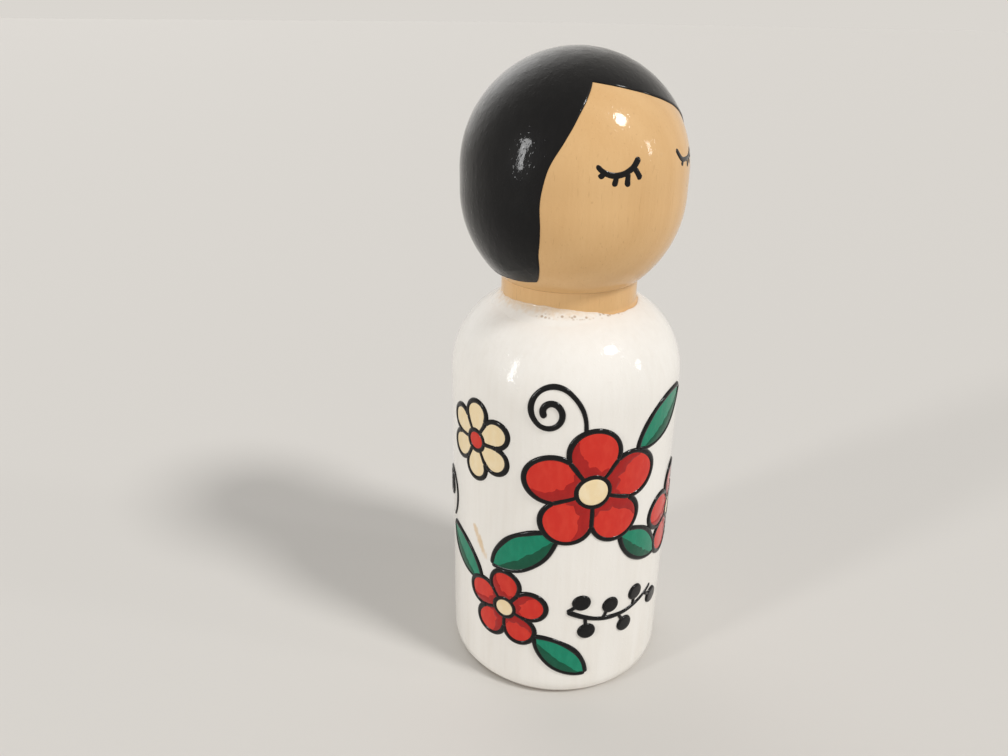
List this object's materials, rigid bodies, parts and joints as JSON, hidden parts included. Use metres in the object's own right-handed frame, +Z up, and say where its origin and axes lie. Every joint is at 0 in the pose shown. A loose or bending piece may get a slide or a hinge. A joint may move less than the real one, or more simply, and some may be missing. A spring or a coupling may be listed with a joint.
{
  "type": "peg doll",
  "caption": "Painted wooden peg doll: turned body and round head pinned at the neck, black bob, closed eyes with lashes, white dress with painted flowers.",
  "frame": {"origin": "centre of the flat base, on the surface that the doll stands on", "axes": "+Z up along the turning axis; the doll faces -Y, so +X is on the doll's left"},
  "size_m": [0.033, 0.0329, 0.0901],
  "materials": {
    "varnished_wood": "pale close-grained turned wood under gloss varnish",
    "dowel_wood": "bare, fluted",
    "white_paint": "hand-brushed white acrylic under gloss varnish",
    "black_paint": "black acrylic under gloss varnish",
    "red_paint": "red acrylic under gloss varnish",
    "dark_red_paint": "dark red acrylic under gloss varnish",
    "cream_paint": "cream acrylic under gloss varnish",
    "green_paint": "green acrylic under gloss varnish",
    "dark_green_paint": "dark green acrylic under gloss varnish"
  },
  "bodies": {
    "root": {"body_peg": "varnished_wood", "head": "varnished_wood", "neck_dowel": "dowel_wood", "dress_coat": "white_paint", "hair_coat": "black_paint", "right_eyelashes": "black_paint", "left_eyelashes": "black_paint", "red_petals": "red_paint", "cream_petals": "cream_paint", "green_leaves": "green_paint", "petal_shading": "dark_red_paint", "leaf_shading": "dark_green_paint", "flower_outlines": "black_paint", "leaf_outlines": "black_paint", "berry_sprig": "black_paint", "tendril_curls": "black_paint"}
  },
  "joints": []
}
